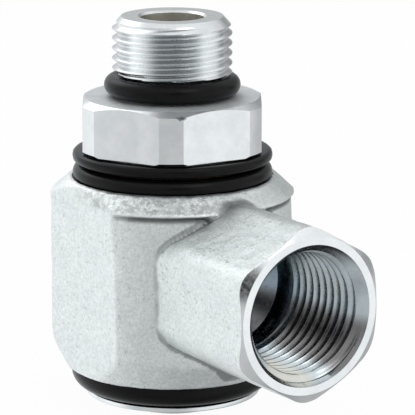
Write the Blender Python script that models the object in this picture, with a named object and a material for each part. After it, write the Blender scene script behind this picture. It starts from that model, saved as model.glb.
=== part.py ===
"""Hydraulic swivel joint: a forged elbow housing that turns on a ported stem.

The stem stands upright on the Z axis, with its threaded end on top. The
housing turns on it and carries the side port, which points along +X.
Metres throughout, with the lower end of the stem at the origin.
"""
import bmesh
import bpy
from math import cos, pi, radians, sin, tan
from mathutils import Matrix

# Clearances
SEAT_GAP = 0.0003            # between a piece and what it seats on
RUNNING_GAP = 0.0004         # between the stem and the housing bore
CUT_MARGIN = 0.002           # how far a cutter runs past the surface it opens

# Facets
ROUND_STEPS = 44             # round the swivel axis
HOLE_STEPS = 16              # round a cross hole
RING_STEPS = 8               # round the section of a rubber ring
ARC_PROFILE = 0.5            # shape of a rounded corner, an arc

# Stem: the turned and ported shaft
JOURNAL_RADIUS = 0.0100      # sealing length inside the housing
FLOW_BORE_RADIUS = 0.0051
FLOW_BORE_LIP = 0.0003       # chamfer at the mouth of the flow bore
DRILL_POINT_ANGLE = radians(118)
GALLERY_HEIGHT = 0.0090      # waist that joins the cross holes to the side port
CROSS_HOLE_RADIUS = 0.00275
CROSS_HOLE_PAIRS = 2         # each pair is drilled straight through
TAIL_CHAMFER = 0.0004
END_LIP = 0.0006             # land below the retaining ring
STEP_CHAMFER = 0.0003

# Stem: hexagon and male threaded end
HEX_ACROSS_FLATS = 0.0282
HEX_CORNER_RADIUS = 0.0153   # turned blank, so the corners are rounded
HEX_HEIGHT = 0.0083
HEX_FACE_RADIUS = 0.0139     # flat sealing face left by the top chamfer
HEX_CHAMFER_HEIGHT = 0.0008
HEX_ANGLE = radians(26.5)    # how the stem stands against the port at rest
NECK_RADIUS = 0.00715        # holds the port ring
NECK_HEIGHT = 0.0038
THREAD_RADIUS = 0.009525
THREAD_RUNOUT = 0.0009
THREAD_END_RADIUS = 0.0081
THREAD_END_CHAMFER = 0.0016
MALE_LENGTH = 0.0128         # from the hexagon to the end of the stem

# Housing: forged barrel
TOP_CONE_WIDTH = 0.0029
TOP_CONE_HEIGHT = 0.0025
BOTTOM_CONE_HEIGHT = 0.0044
FLAT_DEPTH = 0.0025          # taken off the barrel by each of the two side flats
RIM_WALL = 0.00035           # wall between a dust seal's seat and the outside
LEDGE_LAND = 0.0003          # straight edge between the top cone and the step below it
LEDGE_DEPTH = 0.0006         # depth of that step, on the port side only
LEDGE_FADE = 0.0120          # height over which that step runs out

# Housing: side port
PORT_REACH = 0.0382          # swivel axis to the port face
PORT_BORE_RADIUS = 0.0093    # minor radius of the female thread
PORT_BORE_DEPTH = 0.0220
PORT_PASSAGE_RADIUS = 0.0050
PORT_MOUTH_WIDTH = 0.0016    # from the thread bore out to the mouth
PORT_MOUTH_DEPTH = 0.0016
PORT_MOUTH_TAPER = 0.0003
PORT_SINK_DEPTH = 0.0012
PORT_FACE_WIDTH = 0.0010     # flat ring round the mouth
PORT_FLAT_MARGIN = 0.0006    # from that ring out to the flats of the boss
PORT_CHAMFER_ANGLE = radians(32)
PORT_CORNER_ROUND = 0.0010
PORT_LOWER_MARGIN = 0.0015   # bottom of the housing to the boss's lowest corner
PORT_UPPER_MARGIN = 0.0006   # the boss's highest corner to the top of the housing

# Bearings and thrust washers
UPPER_BUSH_WALL = 0.0011
UPPER_BUSH_LENGTH = 0.0036
LOWER_BUSH_WALL = 0.0016
LOWER_BUSH_LENGTH = 0.0034
THRUST_WIDTH = 0.0019        # how far the thrust washers stand out past the journal
UPPER_SPACE = 0.0045         # top of the housing to the hexagon
LOWER_SPACE = 0.0038         # retaining washer to the bottom of the housing

# Seals
PRESSURE_RING_SECTION = 0.0022
BACKUP_THICKNESS = 0.0010
SEAL_OFFSET = 0.0057         # port axis to the nearest wall of each seal groove
PORT_RING_SECTION = 0.0036
PORT_RING_GRIP = 0.0001      # clearance of the port ring round its neck
UPPER_DUST_SECTION = 0.0032
UPPER_DUST_RISE = 0.0006     # centre of the ring above the top of the housing
UPPER_DUST_LAND = 0.00075    # wall between the upper bush and the ring's seat
DUST_WASHER_EDGE = 0.00055   # rounding of the dust washer's rim
LOWER_DUST_SECTION = 0.0054
LOWER_DUST_LAND = 0.0009     # straight part of the section, inside its round
LOWER_DUST_EASE = 0.0009     # lower thrust washer to the ring around it

# Retaining washer and ring
WASHER_REACH = 0.0003        # how far the washer passes the middle of the lower dust seal
WASHER_THICKNESS = 0.0008
WASHER_EDGE = 0.0002
CLIP_THICKNESS = 0.0008
CLIP_DEPTH = 0.0012          # depth of its groove in the stem
CLIP_REACH = 0.0016          # how far the ring stands out past the stem
CLIP_OPENING_ANGLE = radians(44)

# Radii, worked out from the journal
BORE_RADIUS = JOURNAL_RADIUS + RUNNING_GAP
TAIL_RADIUS = BORE_RADIUS - LOWER_BUSH_WALL - 2 * SEAT_GAP           # lower bearing length and end
GROOVE_RADIUS = BORE_RADIUS - PRESSURE_RING_SECTION - 2 * SEAT_GAP   # floor of the waist and seal grooves
CLIP_RADIUS = TAIL_RADIUS + CLIP_REACH
UPPER_BUSH_RADIUS = JOURNAL_RADIUS + SEAT_GAP + UPPER_BUSH_WALL
UPPER_DUST_INNER = UPPER_BUSH_RADIUS + SEAT_GAP + UPPER_DUST_LAND + SEAT_GAP
UPPER_DUST_CENTRE = UPPER_DUST_INNER + UPPER_DUST_SECTION / 2
UPPER_DUST_RADIUS = UPPER_DUST_CENTRE + UPPER_DUST_SECTION / 2
TOP_FACE_RADIUS = UPPER_DUST_RADIUS + SEAT_GAP + RIM_WALL
BARREL_RADIUS = TOP_FACE_RADIUS + TOP_CONE_WIDTH
THRUST_RADIUS = JOURNAL_RADIUS + THRUST_WIDTH
LOWER_DUST_INNER = THRUST_RADIUS + LOWER_DUST_EASE
LOWER_DUST_CENTRE = LOWER_DUST_INNER + LOWER_DUST_LAND
BOTTOM_FACE_RADIUS = LOWER_DUST_CENTRE + LOWER_DUST_SECTION / 2 + SEAT_GAP + RIM_WALL
WASHER_RADIUS = LOWER_DUST_CENTRE + WASHER_REACH

# Side port, from the thread bore out
PORT_MOUTH_RADIUS = PORT_BORE_RADIUS + PORT_MOUTH_WIDTH
PORT_FACE_RADIUS = PORT_MOUTH_RADIUS + PORT_FACE_WIDTH
PORT_ACROSS_FLATS = 2 * (PORT_FACE_RADIUS + PORT_FLAT_MARGIN)
PORT_CORNER = PORT_ACROSS_FLATS / 2 / cos(pi / 6)
PORT_HEIGHT = PORT_LOWER_MARGIN + PORT_CORNER
BARREL_HEIGHT = PORT_HEIGHT + PORT_CORNER + PORT_UPPER_MARGIN

# Levels, from the lower end of the stem up
CLIP_BASE = END_LIP + SEAT_GAP
WASHER_BASE = CLIP_BASE + CLIP_THICKNESS + SEAT_GAP
WASHER_TOP = WASHER_BASE + WASHER_THICKNESS
HOUSING_BASE = WASHER_TOP + LOWER_SPACE
HOUSING_TOP = HOUSING_BASE + BARREL_HEIGHT
PORT_LEVEL = HOUSING_BASE + PORT_HEIGHT
HEX_BASE = HOUSING_TOP + UPPER_SPACE
HEX_TOP = HEX_BASE + HEX_HEIGHT
STEM_TOP = HEX_TOP + MALE_LENGTH

# Seal grooves and the step of the stem
SEAL_GROOVE_HEIGHT = PRESSURE_RING_SECTION + 2 * BACKUP_THICKNESS + 4 * SEAT_GAP
UPPER_GROOVE_BASE = PORT_LEVEL + SEAL_OFFSET
LOWER_GROOVE_BASE = PORT_LEVEL - SEAL_OFFSET - SEAL_GROOVE_HEIGHT
STEM_STEP_LEVEL = HOUSING_BASE + LOWER_BUSH_LENGTH + 2 * SEAT_GAP
HALF_FACET = pi / ROUND_STEPS    # turns a blank, so that its facets miss those of its bore


def clear_scene():
    for item in list(bpy.data.objects):
        bpy.data.objects.remove(item, do_unlink=True)


def make_material(name, colour, roughness, metallic):
    material = bpy.data.materials.new(name)
    material.use_nodes = True
    shader = material.node_tree.nodes["Principled BSDF"]
    shader.inputs["Base Color"].default_value = (*colour, 1.0)
    shader.inputs["Roughness"].default_value = roughness
    shader.inputs["Metallic"].default_value = metallic
    return material


def add_object(name, bm, material=None, level=0.0, parent=None):
    """Turn a bmesh into an outward-facing object that stands on the swivel axis."""
    bmesh.ops.recalc_face_normals(bm, faces=bm.faces)
    if bm.calc_volume(signed=True) < 0:
        bmesh.ops.reverse_faces(bm, faces=bm.faces)
    mesh = bpy.data.meshes.new(name)
    bm.to_mesh(mesh)
    bm.free()
    mesh.shade_smooth()
    mesh.set_sharp_from_angle(angle=radians(30))
    item = bpy.data.objects.new(name, mesh)
    bpy.context.scene.collection.objects.link(item)
    item.location.z = level
    item.parent = parent
    if material:
        mesh.materials.append(material)
    return item


def as_cutter(item):
    item.hide_render = True
    item.display_type = 'WIRE'
    return item


def apply_shape(target, tool, operation):
    modifier = target.modifiers.new(tool.name, 'BOOLEAN')
    modifier.operation = operation
    modifier.solver = 'EXACT'
    modifier.object = tool


def arc(centre, radius, start, end, steps):
    """Points of a profile along an arc, both ends included."""
    angles = [start + (end - start) * i / steps for i in range(steps + 1)]
    return [(centre[0] + radius * cos(a), centre[1] + radius * sin(a)) for a in angles]


def revolve(profile, closed=True, span=2 * pi, steps=ROUND_STEPS):
    """Spin a profile of (radius, height) points about Z.

    A closed profile makes a ring. An open one starts and ends on the axis.
    A span under a full turn is centred on +X and gets flat ends.
    """
    bm = bmesh.new()
    full_turn = span >= 2 * pi
    points = [bm.verts.new((radius, 0.0, height)) for radius, height in profile]
    edges = [bm.edges.new(pair) for pair in zip(points, points[1:])]
    if closed:
        edges.append(bm.edges.new((points[-1], points[0])))
    start = [*points, *edges]
    if not full_turn:
        start.append(bm.faces.new(points))
        bmesh.ops.rotate(bm, verts=points, matrix=Matrix.Rotation(-span / 2, 3, 'Z'))
    bmesh.ops.spin(bm, geom=start, axis=(0, 0, 1), angle=span, steps=steps,
                   use_merge=full_turn, use_duplicate=False)
    bmesh.ops.remove_doubles(bm, verts=bm.verts, dist=1e-7)
    return bm


def extrude_polygon(corners, base, top):
    """Stand a flat outline of (x, y) corners up between two heights."""
    bm = bmesh.new()
    face = bm.faces.new([bm.verts.new((x, y, base)) for x, y in corners])
    sides = bmesh.ops.extrude_face_region(bm, geom=[face])["geom"]
    raised = [v for v in sides if isinstance(v, bmesh.types.BMVert)]
    bmesh.ops.translate(bm, verts=raised, vec=(0, 0, top - base))
    return bm


def hexagon(across_flats, turn=0.0):
    """Corners of a hexagon, the first one at the angle turn."""
    corner = across_flats / 2 / cos(pi / 6)
    return [(corner * cos(turn + i * pi / 3), corner * sin(turn + i * pi / 3)) for i in range(6)]


def hexagon_trim(across_flats, turn, blank_radius, base, top):
    """Ring with a hexagonal hole, which cuts flats on a turned blank."""
    outer_flats = 4 * blank_radius
    bm = bmesh.new()
    loops = []
    for flats, level in ((across_flats, base), (outer_flats, base),
                         (outer_flats, top), (across_flats, top)):
        loops.append([bm.verts.new((x, y, level)) for x, y in hexagon(flats, turn)])
    for lower, upper in zip(loops, loops[1:] + loops[:1]):
        for i in range(6):
            j = (i + 1) % 6
            bm.faces.new((lower[i], lower[j], upper[j], upper[i]))
    return bm


def rubber_ring(name, centre_radius, section, material, level, parent=None):
    """Round-section ring whose centre line lies at the given level."""
    profile = arc((centre_radius, 0.0), section / 2, 0.0, 2 * pi, RING_STEPS)[:-1]
    return add_object(name, revolve(profile), material, level, parent)


def flat_ring(name, inner, outer, base, top, material, parent=None, edge=0.0):
    """Plain ring between two levels, with chamfered outer edges if edge is set."""
    height = top - base
    if edge:
        profile = [(inner, 0.0), (outer - edge, 0.0), (outer, edge),
                   (outer, height - edge), (outer - edge, height), (inner, height)]
    else:
        profile = [(inner, 0.0), (outer, 0.0), (outer, height), (inner, height)]
    return add_object(name, revolve(profile), material, base, parent)


def groove_profile(base, height):
    """Corners of a square groove in the stem's journal, from its lower wall up."""
    return [(JOURNAL_RADIUS, base), (GROOVE_RADIUS, base),
            (GROOVE_RADIUS, base + height), (JOURNAL_RADIUS, base + height)]


def make_stem(steel):
    gallery_base = PORT_LEVEL - GALLERY_HEIGHT / 2
    clip_floor = TAIL_RADIUS - CLIP_DEPTH
    drill_end = gallery_base + STEP_CHAMFER
    drill_tip = drill_end - FLOW_BORE_RADIUS / tan(DRILL_POINT_ANGLE / 2)
    neck_top = HEX_TOP + NECK_HEIGHT
    profile = [(0.0, 0.0), (TAIL_RADIUS - TAIL_CHAMFER, 0.0), (TAIL_RADIUS, TAIL_CHAMFER)]
    profile += [(TAIL_RADIUS, END_LIP), (clip_floor, END_LIP),
                (clip_floor, WASHER_BASE), (TAIL_RADIUS, WASHER_BASE)]
    profile += [(TAIL_RADIUS, STEM_STEP_LEVEL), (JOURNAL_RADIUS - STEP_CHAMFER, STEM_STEP_LEVEL),
                (JOURNAL_RADIUS, STEM_STEP_LEVEL + STEP_CHAMFER)]
    profile += groove_profile(LOWER_GROOVE_BASE, SEAL_GROOVE_HEIGHT)
    profile += groove_profile(gallery_base, GALLERY_HEIGHT)
    profile += groove_profile(UPPER_GROOVE_BASE, SEAL_GROOVE_HEIGHT)
    profile += [(JOURNAL_RADIUS, HEX_BASE), (HEX_CORNER_RADIUS - STEP_CHAMFER, HEX_BASE),
                (HEX_CORNER_RADIUS, HEX_BASE + STEP_CHAMFER),
                (HEX_CORNER_RADIUS, HEX_TOP - HEX_CHAMFER_HEIGHT), (HEX_FACE_RADIUS, HEX_TOP)]
    profile += [(NECK_RADIUS, HEX_TOP), (NECK_RADIUS, neck_top),
                (THREAD_RADIUS, neck_top + THREAD_RUNOUT)]
    profile += [(THREAD_RADIUS, STEM_TOP - THREAD_END_CHAMFER), (THREAD_END_RADIUS, STEM_TOP)]
    profile += [(FLOW_BORE_RADIUS + FLOW_BORE_LIP, STEM_TOP),
                (FLOW_BORE_RADIUS, STEM_TOP - FLOW_BORE_LIP),
                (FLOW_BORE_RADIUS, drill_end), (0.0, drill_tip)]
    stem = add_object("stem", revolve(profile, closed=False), steel)
    trim = hexagon_trim(HEX_ACROSS_FLATS, HEX_ANGLE, HEX_CORNER_RADIUS,
                        HEX_BASE - UPPER_SPACE / 2, HEX_TOP + CUT_MARGIN)
    apply_shape(stem, as_cutter(add_object("hexagon_trim", trim)), 'DIFFERENCE')
    for i in range(CROSS_HOLE_PAIRS):
        drill = cross_drill(f"cross_drill_{i + 1}", HEX_ANGLE + i * pi / CROSS_HOLE_PAIRS)
        apply_shape(stem, drill, 'DIFFERENCE')
    return stem


def cross_drill(name, turn):
    """Cutter for two opposite cross holes, at the level of the side port."""
    reach = JOURNAL_RADIUS + CUT_MARGIN
    profile = [(0.0, -reach), (CROSS_HOLE_RADIUS, -reach), (CROSS_HOLE_RADIUS, reach), (0.0, reach)]
    bm = revolve(profile, closed=False, steps=HOLE_STEPS)
    lay_down = Matrix.Rotation(turn, 4, 'Z') @ Matrix.Rotation(pi / 2, 4, 'Y')
    bm.transform(lay_down)
    return as_cutter(add_object(name, bm, level=PORT_LEVEL))


def make_housing(steel, parent):
    """Forged barrel with a hexagonal side boss, bored for the stem and the port."""
    profile = [(0.0, 0.0), (BOTTOM_FACE_RADIUS, 0.0), (BARREL_RADIUS, BOTTOM_CONE_HEIGHT),
               (BARREL_RADIUS, BARREL_HEIGHT - TOP_CONE_HEIGHT),
               (TOP_FACE_RADIUS, BARREL_HEIGHT), (0.0, BARREL_HEIGHT)]
    blank = revolve(profile, closed=False)
    blank.transform(Matrix.Rotation(HALF_FACET, 4, 'Z'))
    housing = add_object("housing", blank, steel, HOUSING_BASE, parent)
    for side in (-1, 1):
        apply_shape(housing, side_flat_cutter(side), 'DIFFERENCE')
    apply_shape(housing, ledge_cutter(), 'DIFFERENCE')
    apply_shape(housing, port_boss(), 'UNION')
    apply_shape(housing, housing_bore_cutter(), 'DIFFERENCE')
    apply_shape(housing, port_bore_cutter(), 'DIFFERENCE')
    return housing


def side_flat_cutter(side):
    """Slab that planes one of the two flats parallel to the port."""
    name = "flat_cutter_left" if side > 0 else "flat_cutter_right"
    far = 2 * BARREL_RADIUS
    near_y = side * (BARREL_RADIUS - FLAT_DEPTH)
    far_y = side * far
    corners = [(-far, near_y), (far, near_y), (far, far_y), (-far, far_y)]
    slab = extrude_polygon(corners, -CUT_MARGIN, BARREL_HEIGHT + CUT_MARGIN)
    return as_cutter(add_object(name, slab, level=HOUSING_BASE))


def ledge_cutter():
    """Half ring that leaves a step below the top cone, between the two side flats.

    Its wedge section runs out downwards.
    """
    step_level = BARREL_HEIGHT - TOP_CONE_HEIGHT - LEDGE_LAND
    clear = BARREL_RADIUS + CUT_MARGIN
    profile = [(BARREL_RADIUS - LEDGE_DEPTH, step_level), (clear, step_level),
               (clear, step_level - LEDGE_FADE * (1 + CUT_MARGIN / LEDGE_DEPTH))]
    wedge = revolve(profile, span=pi + 2 * HALF_FACET, steps=ROUND_STEPS // 2 + 1)
    return as_cutter(add_object("ledge_cutter", wedge, level=HOUSING_BASE))


def port_boss():
    """Hexagonal boss along +X, with its corners at top and bottom and a turned end."""
    rim = PORT_CORNER + CUT_MARGIN
    rim_level = PORT_REACH - (rim - PORT_FACE_RADIUS) * tan(PORT_CHAMFER_ANGLE)
    prism = extrude_polygon(hexagon(PORT_ACROSS_FLATS), 0.0, PORT_REACH)
    long_edges = [e for e in prism.edges if abs(e.verts[0].co.z - e.verts[1].co.z) > PORT_REACH / 2]
    bmesh.ops.bevel(prism, geom=long_edges, offset=PORT_CORNER_ROUND, segments=2,
                    profile=ARC_PROFILE, affect='EDGES')
    prism.transform(Matrix.Rotation(pi / 2, 4, 'Y'))
    boss = as_cutter(add_object("port_boss", prism, level=PORT_LEVEL))
    blank_profile = [(0.0, -CUT_MARGIN), (rim, -CUT_MARGIN), (rim, rim_level),
                     (PORT_FACE_RADIUS, PORT_REACH), (0.0, PORT_REACH)]
    blank = revolve(blank_profile, closed=False)
    blank.transform(Matrix.Rotation(pi / 2, 4, 'Y') @ Matrix.Rotation(HALF_FACET, 4, 'Z'))
    turned = as_cutter(add_object("port_blank", blank, level=PORT_LEVEL))
    apply_shape(boss, turned, 'INTERSECT')
    return boss


def housing_bore_cutter():
    """Through bore, upper bush seat and the seats of the two dust seals."""
    bush_seat = BARREL_HEIGHT - UPPER_BUSH_LENGTH - 2 * SEAT_GAP
    bush_radius = UPPER_BUSH_RADIUS + SEAT_GAP
    upper_radius = UPPER_DUST_SECTION / 2 + SEAT_GAP
    upper_level = BARREL_HEIGHT + UPPER_DUST_RISE
    lower_radius = LOWER_DUST_SECTION / 2 + SEAT_GAP
    lower_level = SEAT_GAP + LOWER_DUST_SECTION / 2 - LOWER_SPACE
    hub = LOWER_DUST_INNER - SEAT_GAP
    profile = [(0.0, lower_level - CUT_MARGIN),
               (LOWER_DUST_CENTRE + lower_radius, lower_level - CUT_MARGIN)]
    profile += arc((LOWER_DUST_CENTRE, lower_level), lower_radius, 0.0, pi / 2, RING_STEPS // 2)
    profile += [(hub, lower_level + lower_radius), (hub, lower_level), (BORE_RADIUS, lower_level)]
    profile += [(BORE_RADIUS, bush_seat), (bush_radius, bush_seat), (bush_radius, upper_level)]
    profile += arc((UPPER_DUST_CENTRE, upper_level), upper_radius, -pi, 0.0, RING_STEPS // 2)
    profile += [(UPPER_DUST_CENTRE + upper_radius, upper_level + CUT_MARGIN),
                (0.0, upper_level + CUT_MARGIN)]
    return as_cutter(add_object("bore_cutter", revolve(profile, closed=False), level=HOUSING_BASE))


def port_bore_cutter():
    """Mouth, countersink, thread bore with its drill point and the passage to the stem."""
    sink_base = PORT_REACH - PORT_MOUTH_DEPTH - PORT_SINK_DEPTH
    bore_end = PORT_REACH - PORT_BORE_DEPTH
    point = (PORT_BORE_RADIUS - PORT_PASSAGE_RADIUS) / tan(DRILL_POINT_ANGLE / 2)
    mouth_inner = PORT_MOUTH_RADIUS - PORT_MOUTH_TAPER
    profile = [(0.0, JOURNAL_RADIUS / 2), (PORT_PASSAGE_RADIUS, JOURNAL_RADIUS / 2),
               (PORT_PASSAGE_RADIUS, bore_end - point), (PORT_BORE_RADIUS, bore_end),
               (PORT_BORE_RADIUS, sink_base), (mouth_inner, PORT_REACH - PORT_MOUTH_DEPTH),
               (PORT_MOUTH_RADIUS, PORT_REACH), (PORT_MOUTH_RADIUS, PORT_REACH + CUT_MARGIN),
               (0.0, PORT_REACH + CUT_MARGIN)]
    bm = revolve(profile, closed=False)
    bm.transform(Matrix.Rotation(pi / 2, 4, 'Y'))
    return as_cutter(add_object("port_cutter", bm, level=PORT_LEVEL))


def make_bearings(bronze, parent):
    """Two bushes pressed in the housing and the thrust washers above and below it."""
    inner = JOURNAL_RADIUS + SEAT_GAP
    tail_inner = TAIL_RADIUS + SEAT_GAP
    upper_top = HOUSING_TOP - SEAT_GAP
    flat_ring("upper_bush", inner, UPPER_BUSH_RADIUS, upper_top - UPPER_BUSH_LENGTH, upper_top,
              bronze, parent)
    lower_base = HOUSING_BASE + SEAT_GAP
    flat_ring("lower_bush", tail_inner, BORE_RADIUS - SEAT_GAP, lower_base,
              lower_base + LOWER_BUSH_LENGTH, bronze, parent)
    flat_ring("upper_thrust_washer", inner, THRUST_RADIUS, HOUSING_TOP + SEAT_GAP,
              HEX_BASE - SEAT_GAP, bronze)
    flat_ring("lower_thrust_washer", tail_inner, THRUST_RADIUS, WASHER_TOP + SEAT_GAP,
              HOUSING_BASE - SEAT_GAP, bronze)


def make_pressure_seals(rubber, plastic):
    """In each groove of the stem, a rubber ring between two backup rings."""
    inner = GROOVE_RADIUS + SEAT_GAP
    outer = BORE_RADIUS - SEAT_GAP
    centre_radius = (GROOVE_RADIUS + BORE_RADIUS) / 2
    for side, base in (("lower", LOWER_GROOVE_BASE), ("upper", UPPER_GROOVE_BASE)):
        first = base + SEAT_GAP
        ring_level = base + SEAL_GROOVE_HEIGHT / 2
        second = base + SEAL_GROOVE_HEIGHT - SEAT_GAP - BACKUP_THICKNESS
        flat_ring(f"{side}_seal_backup_a", inner, outer, first, first + BACKUP_THICKNESS, plastic)
        rubber_ring(f"{side}_pressure_seal", centre_radius, PRESSURE_RING_SECTION, rubber, ring_level)
        flat_ring(f"{side}_seal_backup_b", inner, outer, second, second + BACKUP_THICKNESS, plastic)


def make_dust_seals(rubber, parent):
    """Rubber rings that close the space above and below the housing."""
    upper_level = HOUSING_TOP + UPPER_DUST_RISE
    rubber_ring("upper_dust_seal", UPPER_DUST_CENTRE, UPPER_DUST_SECTION, rubber, upper_level, parent)
    washer_base = upper_level + UPPER_DUST_SECTION / 2 + SEAT_GAP
    flat_ring("upper_dust_washer", THRUST_RADIUS + SEAT_GAP, UPPER_DUST_RADIUS,
              washer_base, HEX_BASE - SEAT_GAP, rubber, edge=DUST_WASHER_EDGE)
    radius = LOWER_DUST_SECTION / 2
    profile = [(LOWER_DUST_INNER, -radius)]
    profile += arc((LOWER_DUST_CENTRE, 0.0), radius, -pi / 2, pi / 2, RING_STEPS)
    profile += [(LOWER_DUST_INNER, radius)]
    level = WASHER_TOP + SEAT_GAP + radius
    add_object("lower_dust_seal", revolve(profile), rubber, level, parent)


def make_port_ring(rubber):
    """Ring on the neck below the male thread, which seals the port it screws into."""
    centre_radius = NECK_RADIUS + PORT_RING_GRIP + PORT_RING_SECTION / 2
    level = HEX_TOP + SEAT_GAP + PORT_RING_SECTION / 2
    rubber_ring("port_ring", centre_radius, PORT_RING_SECTION, rubber, level)


def make_retainer(steel, spring_steel):
    """Washer under the lower thrust washer, held by a split ring in the stem's groove."""
    flat_ring("retaining_washer", TAIL_RADIUS + SEAT_GAP, WASHER_RADIUS, WASHER_BASE, WASHER_TOP,
              steel, edge=WASHER_EDGE)
    inner = TAIL_RADIUS - CLIP_DEPTH + SEAT_GAP
    profile = [(inner, 0.0), (CLIP_RADIUS, 0.0), (CLIP_RADIUS, CLIP_THICKNESS), (inner, CLIP_THICKNESS)]
    split = revolve(profile, span=2 * pi - CLIP_OPENING_ANGLE, steps=ROUND_STEPS)
    add_object("retaining_ring", split, spring_steel, CLIP_BASE)


def build():
    clear_scene()
    forged = make_material("forged_zinc_steel", (0.72, 0.74, 0.74), 0.42, 0.85)
    turned = make_material("turned_zinc_steel", (0.78, 0.80, 0.81), 0.24, 0.95)
    spring = make_material("spring_steel", (0.30, 0.30, 0.31), 0.35, 0.9)
    bronze = make_material("bearing_bronze", (0.62, 0.42, 0.20), 0.35, 0.9)
    rubber = make_material("black_rubber", (0.018, 0.018, 0.020), 0.45, 0.0)
    plastic = make_material("backup_plastic", (0.82, 0.80, 0.74), 0.5, 0.0)
    swivel_axis = bpy.data.objects.new("swivel_axis", None)
    bpy.context.scene.collection.objects.link(swivel_axis)
    make_stem(turned)
    make_housing(forged, swivel_axis)
    make_bearings(bronze, swivel_axis)
    make_pressure_seals(rubber, plastic)
    make_dust_seals(rubber, swivel_axis)
    make_port_ring(rubber)
    make_retainer(turned, spring)


build()
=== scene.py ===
"""Looks of the hydraulic swivel joint: detailed pieces, materials, light and camera.

The stem stands on Z with its threaded end up and the side port points along +X.
Shapes are worked out in millimetres and written to the meshes in metres.
"""
from math import cos, hypot, pi, radians, sin, tan

import bmesh
import bpy
import numpy as np
from mathutils import Matrix, Vector


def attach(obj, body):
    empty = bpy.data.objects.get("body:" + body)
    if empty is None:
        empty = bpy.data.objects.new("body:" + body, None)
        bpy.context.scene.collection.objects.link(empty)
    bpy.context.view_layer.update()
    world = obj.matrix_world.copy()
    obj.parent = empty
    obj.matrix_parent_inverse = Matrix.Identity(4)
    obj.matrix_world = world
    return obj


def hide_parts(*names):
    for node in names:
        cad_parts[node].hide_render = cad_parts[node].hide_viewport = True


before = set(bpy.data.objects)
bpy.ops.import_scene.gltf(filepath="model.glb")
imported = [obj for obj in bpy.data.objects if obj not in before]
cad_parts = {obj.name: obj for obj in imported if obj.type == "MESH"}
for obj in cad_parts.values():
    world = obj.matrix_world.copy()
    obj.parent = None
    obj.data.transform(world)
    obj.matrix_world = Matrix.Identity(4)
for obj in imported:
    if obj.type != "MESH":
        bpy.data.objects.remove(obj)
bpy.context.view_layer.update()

MM = 0.001
MERGE_DISTANCE = 1e-7                # metres
STEM_SIDE = "stem_side"
HOUSING_SIDE = "housing_side"
SEAT_GAP = 0.3
DRILL_POINT = radians(59)            # half the angle of a drill's point
CUTTER_EXCESS = 2.0                  # how far the bore's cutter runs past the dust seals' middles
ROUND_LIMIT = 2.2                    # a side is at least this many times as long as a corner's curve

# Housing, heights from its own bottom face
HOUSING_BASE = 6.6
BARREL_HEIGHT = 30.9676
HOUSING_TOP = HOUSING_BASE + BARREL_HEIGHT
BARREL_RADIUS = 19.5
FLAT_DISTANCE = 17.0
TOP_FACE_RADIUS = 16.6
TOP_CONE_HEIGHT = 2.5
BOTTOM_FACE_RADIUS = 17.05
BOTTOM_CONE_HEIGHT = 4.4
LEDGE_DEPTH = 0.6
LEDGE_FADE = 12.0                    # the barrel narrows to its step over this height
LEDGE_LEVEL = BARREL_HEIGHT - TOP_CONE_HEIGHT - 0.3
LEDGE_SOFTNESS = 0.3
BORE_RADIUS = 10.4
BUSH_SEAT_RADIUS = 11.7
BUSH_SEAT_LEVEL = BARREL_HEIGHT - 4.2

# How far the faces of the forging run into each other
FLAT_BLEND = 0.22
FACE_BLEND = 0.3
BOTTOM_CONE_BLEND = 0.5
PORT_CORNER_BLEND = 2.4
PORT_END_BLEND = 0.2
PORT_ROOT_BLEND = 0.4

# How the forging's mesh is made
BOSS_EXCESS = 1.0                    # how far the boss runs past the port's face before facing
SLAB_REACH = 30
SLAB_TOP = 50
VOXEL = 0.36
PULLS = 8                            # times the mesh is pulled onto the exact shape
PULL_SHARE = 0.9
PULL_LIMIT = 0.35
SLOPE_STEP = 0.01                    # distance over which the shape's slope is measured
LEAST_SLOPE_SQUARED = 0.25
WAVES = 26
WAVE_SEED = 11
WAVE_NUMBERS = (0.5, 2.2)            # radians per millimetre
WAVE_HEIGHT = 0.010

# Side port, distances from the swivel axis
PORT_LEVEL = 22.5338
PORT_REACH = 38.2
PORT_ACROSS_FLATS = 25.0
PORT_FACE_RADIUS = 12.25
PORT_BLANK_RADIUS = 16.6
PORT_CHAMFER = tan(radians(32))
PORT_THREAD_MINOR = 9.3
PORT_THREAD_MAJOR = 10.48
PORT_PITCH = 1.814
PORT_PASSAGE_RADIUS = 5.0
PORT_BORE_END = 16.2
PORT_THREAD_END = 20.0
PORT_RUNOUT_SLOPE = 0.6
PORT_SINK_RADIUS = 10.5
PORT_SINK_DEPTH = 0.65
PORT_SINK_SLOPE = 0.9
PORT_MOUTH_RADIUS = 11.05
PORT_MOUTH_EDGE = 0.08
PORT_MOUTH_EXCESS = 0.05
PORT_CUTTER_TAPER = 0.03
PORT_CUTTER_START = 5.0
PORT_CUTTER_END = 41.5

# Stem
STEM_TOP = 63.1676
JOURNAL_RADIUS = 10.0
JOURNAL_BASE = 10.6
TAIL_RADIUS = 8.2
TAIL_CHAMFER = 0.4
STEP_CHAMFER = 0.3
GROOVE_RADIUS = 7.6
GROOVES = ((-11.1, -5.7), (-4.5, 4.5), (5.7, 11.1))     # walls, from the level of the port
CLIP_GROOVE_RADIUS = 7.0
CLIP_GROOVE = (0.6, 2.0)
CROSS_HOLE_RADIUS = 2.75
CROSS_DRILL_REACH = 12
HEX_BASE = 42.0676
HEX_TOP = 50.3676
HEX_ACROSS_FLATS = 28.2
HEX_CORNER_RADIUS = 15.3
HEX_FACE_RADIUS = 13.9
HEX_CHAMFER_HEIGHT = 0.8
HEX_TURN = radians(26.5)
TRIM_LEVELS = (40.0, 52.0)           # ends of the cutter that makes the hexagon's flats
TRIM_ACROSS = 60.0
NECK_RADIUS = 7.15
NECK_ROOT = 0.2
THREAD_START = HEX_TOP + 3.5
MALE_MAJOR = 9.525
MALE_MINOR = 8.72
MALE_PITCH = 1.5875
MALE_RUNOUT_SLOPE = 8.0
MALE_END_RADIUS = 8.1
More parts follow.
